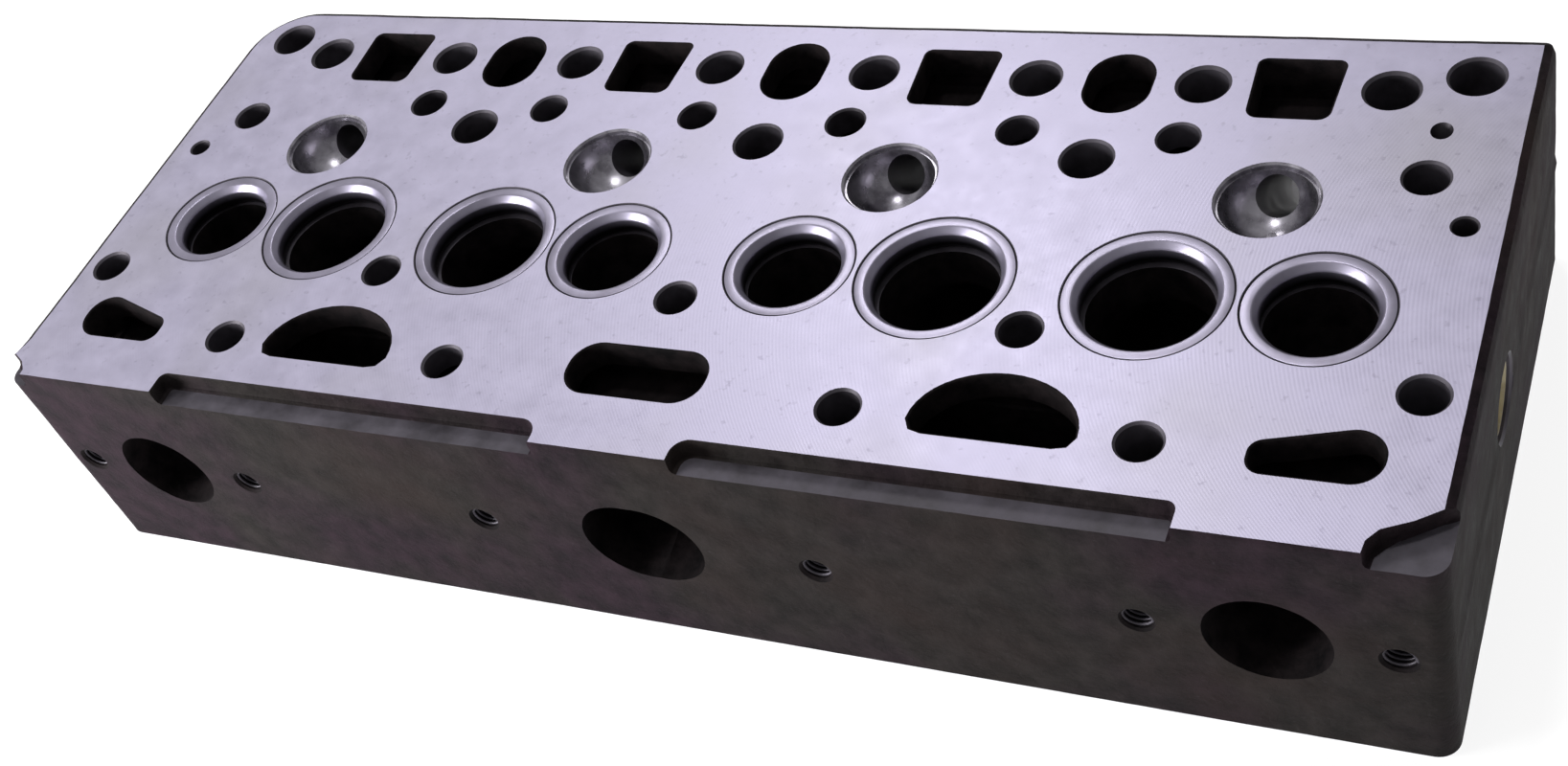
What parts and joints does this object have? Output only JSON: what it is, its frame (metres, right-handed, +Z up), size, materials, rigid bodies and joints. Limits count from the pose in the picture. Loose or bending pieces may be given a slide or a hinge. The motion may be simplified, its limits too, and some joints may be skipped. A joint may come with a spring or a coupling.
{
  "type": "cylinder head",
  "caption": "Bare cast-iron cylinder head of an in-line pushrod diesel, gasket deck up, with valve seats, guides, swirl chambers, ports and core plugs.",
  "frame": {"origin": "centre of the bounding box at its base, on the rocker cover face", "axes": "+X along the crankshaft towards the oil feed hole, +Y to the intake side, +Z up to the gasket deck"},
  "size_m": [0.445, 0.18, 0.084],
  "materials": {
    "machined_cast_iron": "machined deck, rough-cast sides",
    "valve_seat_steel": "ground",
    "valve_guide_iron": "turned",
    "core_plug_steel": "plated pressing"
  },
  "bodies": {
    "root": {"head_casting": "machined_cast_iron", "intake_seat_1": "valve_seat_steel", "exhaust_seat_1": "valve_seat_steel", "intake_guide_1": "valve_guide_iron", "exhaust_guide_1": "valve_guide_iron", "intake_seat_2": "valve_seat_steel", "exhaust_seat_2": "valve_seat_steel", "intake_guide_2": "valve_guide_iron", "exhaust_guide_2": "valve_guide_iron", "intake_seat_3": "valve_seat_steel", "exhaust_seat_3": "valve_seat_steel", "intake_guide_3": "valve_guide_iron", "exhaust_guide_3": "valve_guide_iron", "intake_seat_4": "valve_seat_steel", "exhaust_seat_4": "valve_seat_steel", "intake_guide_4": "valve_guide_iron", "exhaust_guide_4": "valve_guide_iron", "core_plug_front": "core_plug_steel", "core_plug_rear": "core_plug_steel", "core_plug_intake_side": "core_plug_steel", "core_plug_rocker_front": "core_plug_steel", "core_plug_rocker_rear": "core_plug_steel"}
  },
  "joints": []
}
